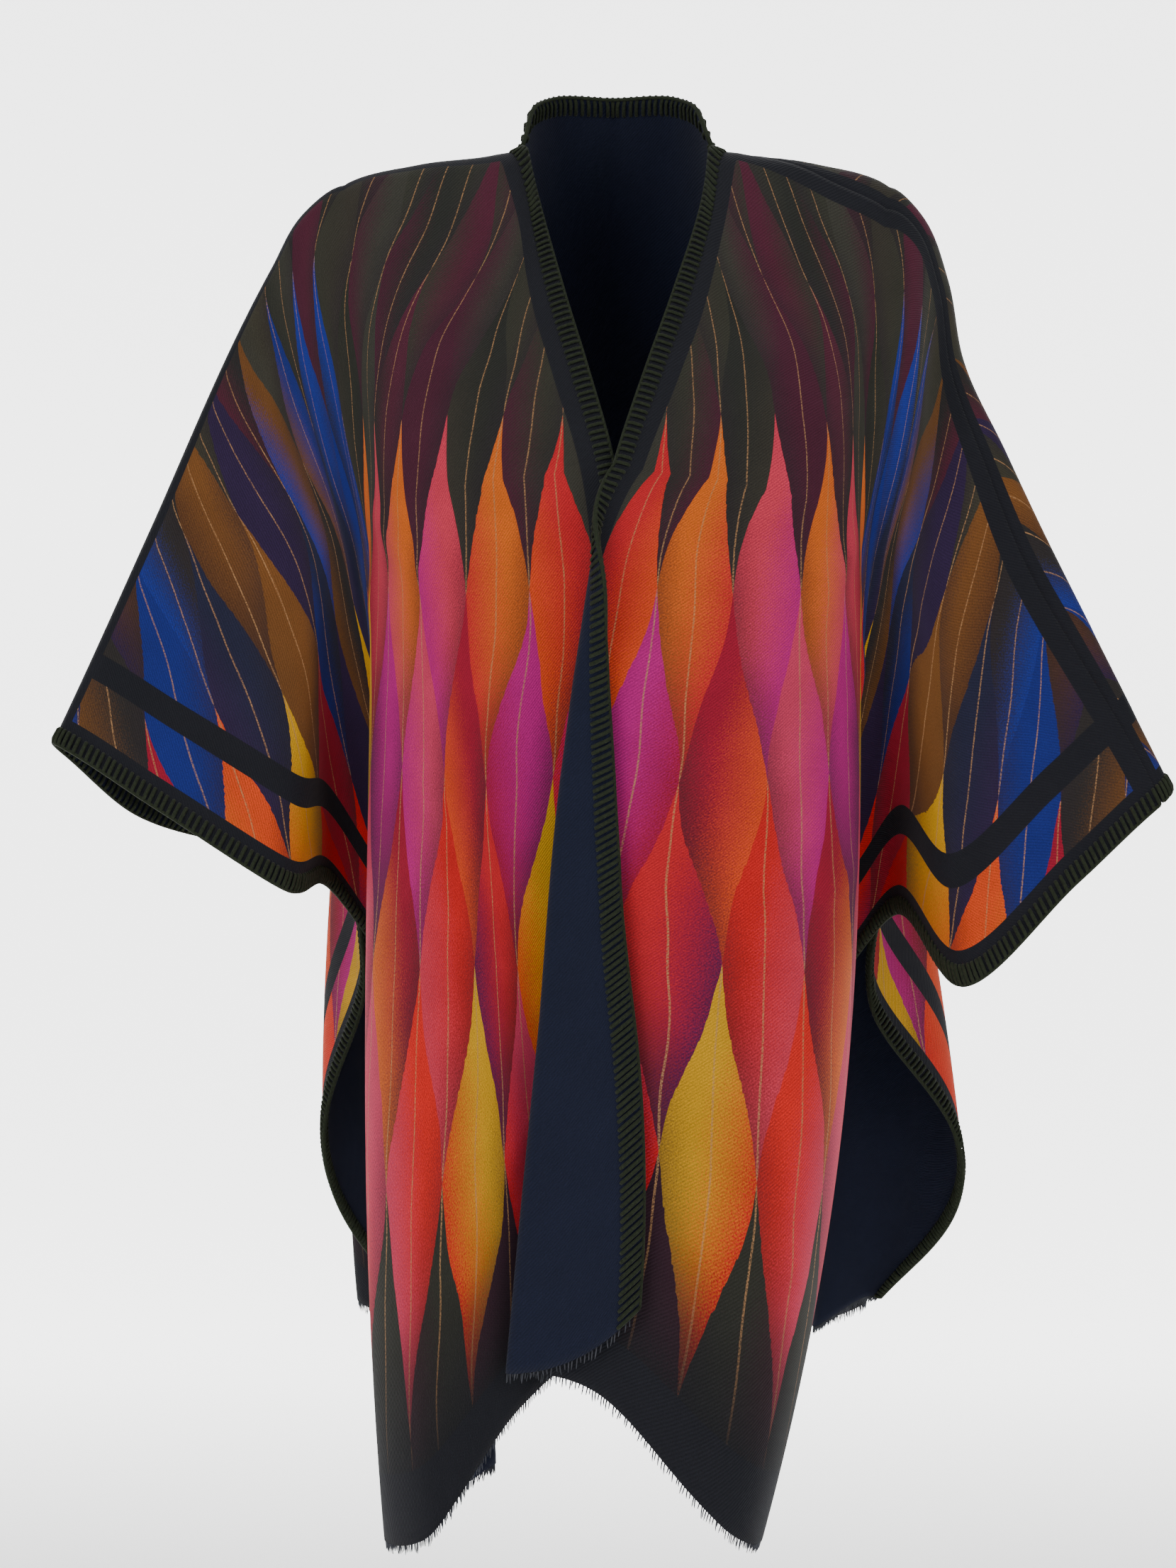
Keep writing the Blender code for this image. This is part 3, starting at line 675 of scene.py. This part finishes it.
def twill(material, colour, place, slope):
    """Diagonal ribs, hairs and flecks of a napped wool twill, in relief and in colour; in colour the
    ribs are painted shade, lighter on each crest and darker between, and the flecks and clouds are the
    wool's own tone.
    """
    at = add_node(material, "ShaderNodeSeparateXYZ", (place,))
    rib = add_node(material, "ShaderNodeMath", (at.outputs["Y"], slope, at.outputs["X"]),
                   operation="MULTIPLY_ADD")
    rib = add_node(material, "ShaderNodeMath", (rib, 2.0 * math.pi / TWILL_RIB / 1.4),
                   operation="MULTIPLY")
    rib = add_node(material, "ShaderNodeMath", (rib,), operation="SINE")
    fleck = add_node(material, "ShaderNodeTexNoise", {"Vector": place, "Scale": 1100.0, "Detail": 2.0})
    cloud = add_node(material, "ShaderNodeTexNoise", {"Vector": place, "Scale": 30.0, "Detail": 3.0})
    # painted shade of the ribs: the colour is lightened on each crest and darkened in each hollow, on
    # top of the relief; flecks and clouds below are the wool's own tone
    painted_rib_shade_and_tone = add_node(material, "ShaderNodeMapRange", (rib, -1.0, 1.0, 0.84, 1.08))
    flecks = add_node(material, "ShaderNodeMapRange", (fleck, 0.3, 0.7, 0.78, 1.24))
    clouds = add_node(material, "ShaderNodeMapRange", (cloud, 0.3, 0.7, 0.93, 1.07))
    painted_rib_shade_and_tone = add_node(material, "ShaderNodeMath", (painted_rib_shade_and_tone, flecks), operation="MULTIPLY")
    painted_rib_shade_and_tone = add_node(material, "ShaderNodeMath", (painted_rib_shade_and_tone, clouds), operation="MULTIPLY")
    lit = add_node(material, "ShaderNodeVectorMath", {"Vector": colour, "Scale": painted_rib_shade_and_tone},
                   operation="SCALE")
    height = add_node(material, "ShaderNodeMath", (fleck, 1.2, rib), operation="MULTIPLY_ADD")
    relief = add_node(material, "ShaderNodeBump",
                      {"Height": height, "Strength": 0.45, "Distance": 0.0003})
    shader = material.node_tree.nodes["Principled BSDF"]
    material.node_tree.links.new(lit.outputs[0], shader.inputs["Base Color"])
    material.node_tree.links.new(relief.outputs[0], shader.inputs["Normal"])


twill(printed_wool, face_colour.outputs[2], cut_place, 1.0)

# The reverse is the ground without print: plain navy twill, softer and a little lighter for its nap.
plain_wool = bpy.data.materials.new("plain_navy_wool_twill")
plain_wool.use_nodes = True
navy = plain_wool.node_tree.nodes["Principled BSDF"]
navy.inputs["Roughness"].default_value = 0.92
navy.inputs["Specular IOR Level"].default_value = 0.2
navy.inputs["Sheen Weight"].default_value = 0.06
navy.inputs["Sheen Roughness"].default_value = 0.6
reverse_place = add_node(plain_wool, "ShaderNodeUVMap", uv_map="cut").outputs["UV"]
navy_dye = add_node(plain_wool, "ShaderNodeRGB")
navy_dye.outputs[0].default_value = linear("#161b30")
twill(plain_wool, navy_dye.outputs[0], reverse_place, -1.0)

FRONT_COLUMNS, FRONT_ROWS = 124, 150
FLAP_COLUMNS, BEND_COLUMNS = 18, 12
NAPE_COLUMNS, BACK_ROWS = 16, 130


def row_places(rows):
    """b of each row, a little closer together at the shoulder line."""
    return LENGTH * np.linspace(0.0, 1.0, rows + 1) ** 1.1


def front_columns(side, b):
    """u of every column, one row of the grid for each b."""
    start = neckline(b)
    if side == "left":
        t = np.linspace(0.0, 1.0, FRONT_COLUMNS + 1)[None, :]
        return start + (HALF_WIDTH - start) * t
    bend = math.pi * smooth_step(b, FLAP_TOP, FLAP_TURNED) * FLAP_BEND
    strip = np.maximum(flap_width(b) - bend, 0.012)
    turned = np.maximum(bend, 0.008)
    first = start + strip * np.linspace(0.0, 1.0, FLAP_COLUMNS + 1)[None, :]
    second = start + strip + turned * np.linspace(0.0, 1.0, BEND_COLUMNS + 1)[None, 1:]
    fold = start + strip + turned
    third = fold + (HALF_WIDTH - fold) * np.linspace(0.0, 1.0, FRONT_COLUMNS - 2)[None, 1:]
    return np.hstack((first, second, third))


def front_shell(side, sign, creases):
    b = row_places(FRONT_ROWS)[:, None]
    u = front_columns(side, b)
    b = b * np.ones_like(u)
    normal = facing(front_points, side, u, b)
    points = creased(front_points(side, u, b), normal, creases, u, b)
    if sign < 0.0:
        points, normal = points[:, ::-1] * (-1, 1, 1), normal[:, ::-1] * (-1, 1, 1)
        u, b = -u[:, ::-1], b[:, ::-1]
    return cloth_shell("cape_front_" + side, points, normal, u, b)


front_left = front_shell("left", -1.0, CREASES_LEFT)
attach(front_left, "root")
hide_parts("front_left")

# The right front laps over the left one. From the V down, its front edge is turned outwards in a
# strip that widens to about 8 cm at the hem and shows the navy reverse.
CREASES_RIGHT = (
    (160, 520, 260, 470, 10, 2.0),
    (260, 300, 430, 300, 14, 2.2),
    (300, 130, 430, 220, 16, 2.0),
    (170, 330, 230, 260, 12, 2.2),
    (150, 660, 260, 690, 12, 1.8),
)
front_right = front_shell("right", 1.0, CREASES_RIGHT)
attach(front_right, "root")
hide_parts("front_right")

# The back, from the shoulder line down to the back hem. It is the same cloth going on over the
# shoulders: full width, with pleats that fall from both shoulder points and under the arms.
back_sides = []
for side, sign in (("right", 1.0), ("left", -1.0)):
    b = row_places(BACK_ROWS)[:, None]
    line = front_columns(side, np.zeros((1, 1)))[0]
    nape = np.linspace(0.0, line[0], NAPE_COLUMNS + 1)[:-1]
    u = np.concatenate((nape, line))[None, :] * np.ones_like(b)
    b = b * np.ones_like(u)
    points, normal = back_points(side, u, b), facing(back_points, side, u, b)
    back_sides.append((points * (sign, 1, 1), normal * (sign, 1, 1), u, b))
(right, right_normal, right_u, b), (left, left_normal, left_u, left_b) = back_sides
middle = 0.5 * (left[:, :1] + right[:, :1])
middle_normal = unit(left_normal[:, :1] + right_normal[:, :1])
back = cloth_shell(
    "cape_back", np.hstack((right[:, :0:-1], middle, left[:, 1:])),
    np.hstack((right_normal[:, :0:-1], middle_normal, left_normal[:, 1:])),
    np.hstack((right_u[:, :0:-1], -left_u)), -np.hstack((b[:, :0:-1], left_b)))
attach(back, "root")
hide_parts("back")

# The edging: thick olive wool yarn worked in blanket stitch over the neckline, the front edges and
# both side edges, a stitch every 4.6 mm and 10 mm deep, with the yarn's purl along the very edge.
STITCH_STEP = 0.0046
# way of one stitch: depth in from the edge, and height over the middle of the cloth, in millimetres
STITCH_PATH = ((9.8, 0.9), (8.6, 2.0), (2.2, 2.3), (-0.7, 1.3),
               (-0.7, -1.3), (2.2, -2.3), (8.6, -2.0), (9.8, -0.9))
STITCH_HALF_WIDTH, STITCH_HALF_THICK = 0.00125, 0.0008
PURL_HALF_WIDTH, PURL_HALF_THICK = 0.0016, 0.0011

olive_yarn = bpy.data.materials.new("olive_wool_yarn")
olive_yarn.use_nodes = True
yarn = olive_yarn.node_tree.nodes["Principled BSDF"]
yarn.inputs["Roughness"].default_value = 0.95
yarn.inputs["Specular IOR Level"].default_value = 0.2
yarn.inputs["Sheen Weight"].default_value = 0.05
where = add_node(olive_yarn, "ShaderNodeTexCoord").outputs["Object"]
ply = add_node(olive_yarn, "ShaderNodeTexNoise", {"Vector": where, "Scale": 700.0, "Detail": 2.0})
ply_dye = add_node(olive_yarn, "ShaderNodeMix", {0: ply, 6: linear("#171c14"), 7: linear("#353c2a")},
                   data_type="RGBA")
fuzz = add_node(olive_yarn, "ShaderNodeBump", {"Height": ply, "Strength": 0.5, "Distance": 0.0006})
olive_yarn.node_tree.links.new(ply_dye.outputs[2], yarn.inputs["Base Color"])
olive_yarn.node_tree.links.new(fuzz.outputs[0], yarn.inputs["Normal"])


def strands(centres, first, second, sides):
    """Vertices and faces of closed strands: centres and the two half-thicknesses, strand by strand."""
    number, steps = centres.shape[:2]
    turn = np.linspace(0.0, 2.0 * math.pi, sides, endpoint=False)
    ring = (centres[:, :, None] + first[:, :, None] * np.cos(turn)[:, None]
            + second[:, :, None] * np.sin(turn)[:, None])
    k = np.arange(number * steps * sides).reshape(number, steps, sides)
    ahead = np.roll(k, -1, axis=2)
    walls = np.stack((k[:, :-1], ahead[:, :-1], ahead[:, 1:], k[:, 1:]), axis=-1).reshape(-1, 4)
    ends = k[:, 0, ::-1].tolist() + k[:, -1].tolist()
    return ring.reshape(-1, 3), walls.tolist() + ends


def yarn_piece(name, runs, material):
    vertices, faces, count = [], [], 0
    for points, walls in runs:
        vertices.append(points)
        faces += [[v + count for v in face] for face in walls]
        count += len(points)
    mesh = bpy.data.meshes.new(name)
    mesh.from_pydata(np.vstack(vertices), [], faces)
    mesh.polygons.foreach_set("use_smooth", np.ones(len(faces), bool))
    mesh.materials.append(material)
    mesh.update()
    piece = bpy.data.objects.new(name, mesh)
    bpy.context.scene.collection.objects.link(piece)
    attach(piece, "root")
    return piece


chance_of = np.random.default_rng(7)


def blanket_stitch(surface, side, sign, edge_u, b, inward):
    """Stitches and purl along one edge: edge_u and b of each stitch, and which way the cloth lies."""
    way = np.array((sign, 1, 1))
    du, db = inward

    def cloth(depth):
        spot_u, spot_b = edge_u + du * depth, b + db * depth
        return surface(side, spot_u, spot_b) * way, facing(surface, side, spot_u, spot_b) * way

    edge, normal = cloth(0.0)
    inner, _ = cloth(0.003)
    into = unit(inner - edge)
    run = unit(np.gradient(edge, axis=0))
    path = []
    for depth, height in STITCH_PATH:
        at, up = cloth(max(depth, 0.0) / 1000.0)
        path.append(at + into * min(depth, 0.0) / 1000.0 + up * height / 1000.0)
    path = np.stack(path, axis=1)
    path = path + (run * chance_of.uniform(-0.0004, 0.0004, (len(b), 1)))[:, None]
    along_path = unit(np.gradient(path, axis=1))
    first = np.repeat(run[:, None], path.shape[1], axis=1)
    first = unit(first - along_path * np.sum(first * along_path, axis=-1, keepdims=True))
    second = np.cross(along_path, first)
    stitches = strands(path, first * STITCH_HALF_WIDTH, second * STITCH_HALF_THICK, 6)
    purl = (edge - into * 0.0010)[None]
    up = unit(np.cross(run, into))[None]
    purl = strands(purl, up * PURL_HALF_WIDTH, np.cross(run[None], up) * PURL_HALF_THICK, 6)
    return [stitches, purl]


down = np.arange(STITCH_STEP / 2.0, LENGTH, STITCH_STEP)
side_edge = HALF_WIDTH * np.ones_like(down)
nape_u = np.arange(-NECK_HALF_WIDTH + 0.002, NECK_HALF_WIDTH, STITCH_STEP)


def both_sides_back(side, u, b):
    """The back across the nape, where u runs from one side to the other."""
    right = back_points("right", np.abs(u), b)
    left = back_points("left", np.abs(u), b)
    points = np.where((u > 0.0)[..., None], right, left)
    return points * np.stack((np.sign(u), np.ones_like(u), np.ones_like(u)), axis=-1)


def front_stitches(side, sign):
    return (blanket_stitch(front_points, side, sign, neckline(down), down, (1, 0))
            + blanket_stitch(front_points, side, sign, side_edge, down, (-1, 0)))


edging_left = yarn_piece("edging_front_left", front_stitches("left", -1.0), olive_yarn)
edging_right = yarn_piece("edging_front_right", front_stitches("right", 1.0), olive_yarn)
back_stitches = blanket_stitch(back_points, "left", -1.0, side_edge, down, (-1, 0))
back_stitches += blanket_stitch(back_points, "right", 1.0, side_edge, down, (-1, 0))
back_stitches += blanket_stitch(both_sides_back, "both", 1.0, nape_u, np.zeros_like(nape_u), (0, 1))
edging_back = yarn_piece("edging_back", back_stitches, olive_yarn)

# The hems are not stitched: the cloth's own navy warp is frayed there into a soft fringe of ends
# 3 to 6 mm long, about one every 2 mm.
FRINGE_STEP = 0.0022
FRINGE_SHORTEST, FRINGE_LONGEST = 0.003, 0.006
FRINGE_HALF_THICK = (0.00045, 0.00042, 0.00034, 0.00015)
frayed_wool = bpy.data.materials.new("frayed_navy_wool_ends")
frayed_wool.use_nodes = True
ends = frayed_wool.node_tree.nodes["Principled BSDF"]
ends.inputs["Roughness"].default_value = 0.95
where = add_node(frayed_wool, "ShaderNodeTexCoord").outputs["Object"]
tone = add_node(frayed_wool, "ShaderNodeTexNoise", {"Vector": where, "Scale": 260.0, "Detail": 1.0})
tone_dye = add_node(frayed_wool, "ShaderNodeMix", {0: tone, 6: linear("#1d2028"), 7: linear("#5d5f66")},
                    data_type="RGBA")
frayed_wool.node_tree.links.new(tone_dye.outputs[2], ends.inputs["Base Color"])


def frayed_hem(surface, side, sign):
    """Ends of yarn along the hem of one side, each with its own length and lean."""
    way = np.array((sign, 1, 1))
    u = np.arange(0.004, HALF_WIDTH - 0.002, FRINGE_STEP)
    u = u + chance_of.uniform(-0.0007, 0.0007, len(u))
    b = LENGTH * np.ones_like(u)
    edge = surface(side, u, b - 0.0004) * way
    fall = unit(edge - surface(side, u, b - 0.006) * way)
    sideways = unit(surface(side, u + 0.003, b) * way - edge)
    long = chance_of.uniform(FRINGE_SHORTEST, FRINGE_LONGEST, (len(u), 1))
    lean = chance_of.uniform(-0.35, 0.35, (len(u), 1))
    tips = [edge + (fall * t + (sideways * lean + np.array((0, 0, -0.3))) * t * t * 0.6) * long
            for t in (0.0, 0.4, 0.75, 1.0)]
    path = np.stack(tips, axis=1)
    way_down = unit(np.gradient(path, axis=1))
    first = np.repeat(sideways[:, None], 4, axis=1)
    first = unit(first - way_down * np.sum(first * way_down, axis=-1, keepdims=True))
    second = np.cross(way_down, first)
    thick = np.array(FRINGE_HALF_THICK)[None, :, None]
    return [strands(path, first * thick, second * thick, 4)]


fringe_left = yarn_piece("fringe_front_left", frayed_hem(front_points, "left", -1.0), frayed_wool)
fringe_right = yarn_piece("fringe_front_right", frayed_hem(front_points, "right", 1.0), frayed_wool)
back_fringe = frayed_hem(back_points, "left", -1.0) + frayed_hem(back_points, "right", 1.0)
fringe_back = yarn_piece("fringe_back", back_fringe, frayed_wool)
